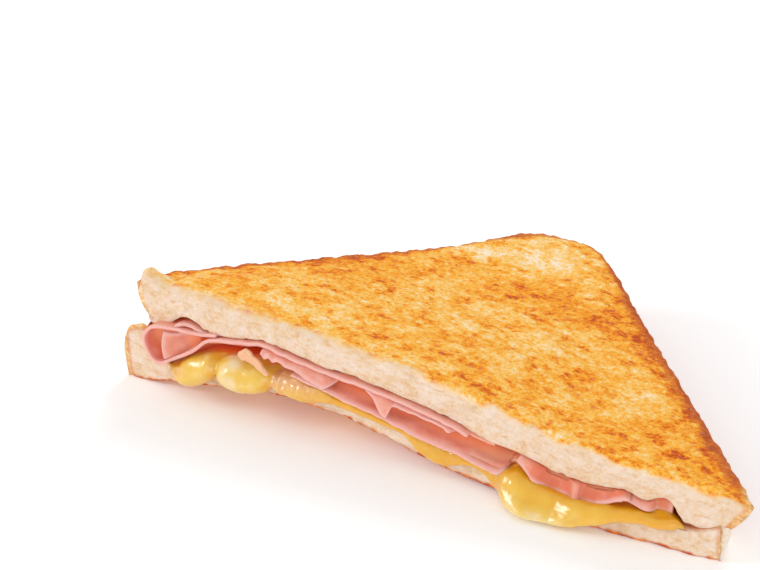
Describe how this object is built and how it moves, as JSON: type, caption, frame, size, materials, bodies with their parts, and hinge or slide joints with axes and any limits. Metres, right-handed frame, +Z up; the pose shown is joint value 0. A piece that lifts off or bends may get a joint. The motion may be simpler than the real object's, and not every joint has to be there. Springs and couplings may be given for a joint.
{
  "type": "grilled ham and cheese sandwich half",
  "caption": "Triangular half of a toasted sandwich, cut corner to corner, with folded ham and melted cheese running out of the cut.",
  "frame": {"origin": "middle of the footprint's bounding box, on the plane that the lower slice rests on", "axes": "+X along the diagonal cut towards the thin end of the sandwich, +Z up; the cut face looks along -Y and the crust corner points along +Y"},
  "size_m": [0.1626, 0.0872, 0.0295],
  "materials": {
    "toasted_bread": "matte",
    "melted_cheese": "gloss",
    "cooked_ham": "satin"
  },
  "bodies": {
    "root": {"bread_bottom": "toasted_bread", "bread_top": "toasted_bread", "cheese": "melted_cheese", "ham_lower": "cooked_ham", "ham_middle": "cooked_ham", "ham_right": "cooked_ham", "ham_roll": "cooked_ham", "ham_fold": "cooked_ham", "ham_tip": "cooked_ham", "ham_shred": "cooked_ham"}
  },
  "joints": []
}
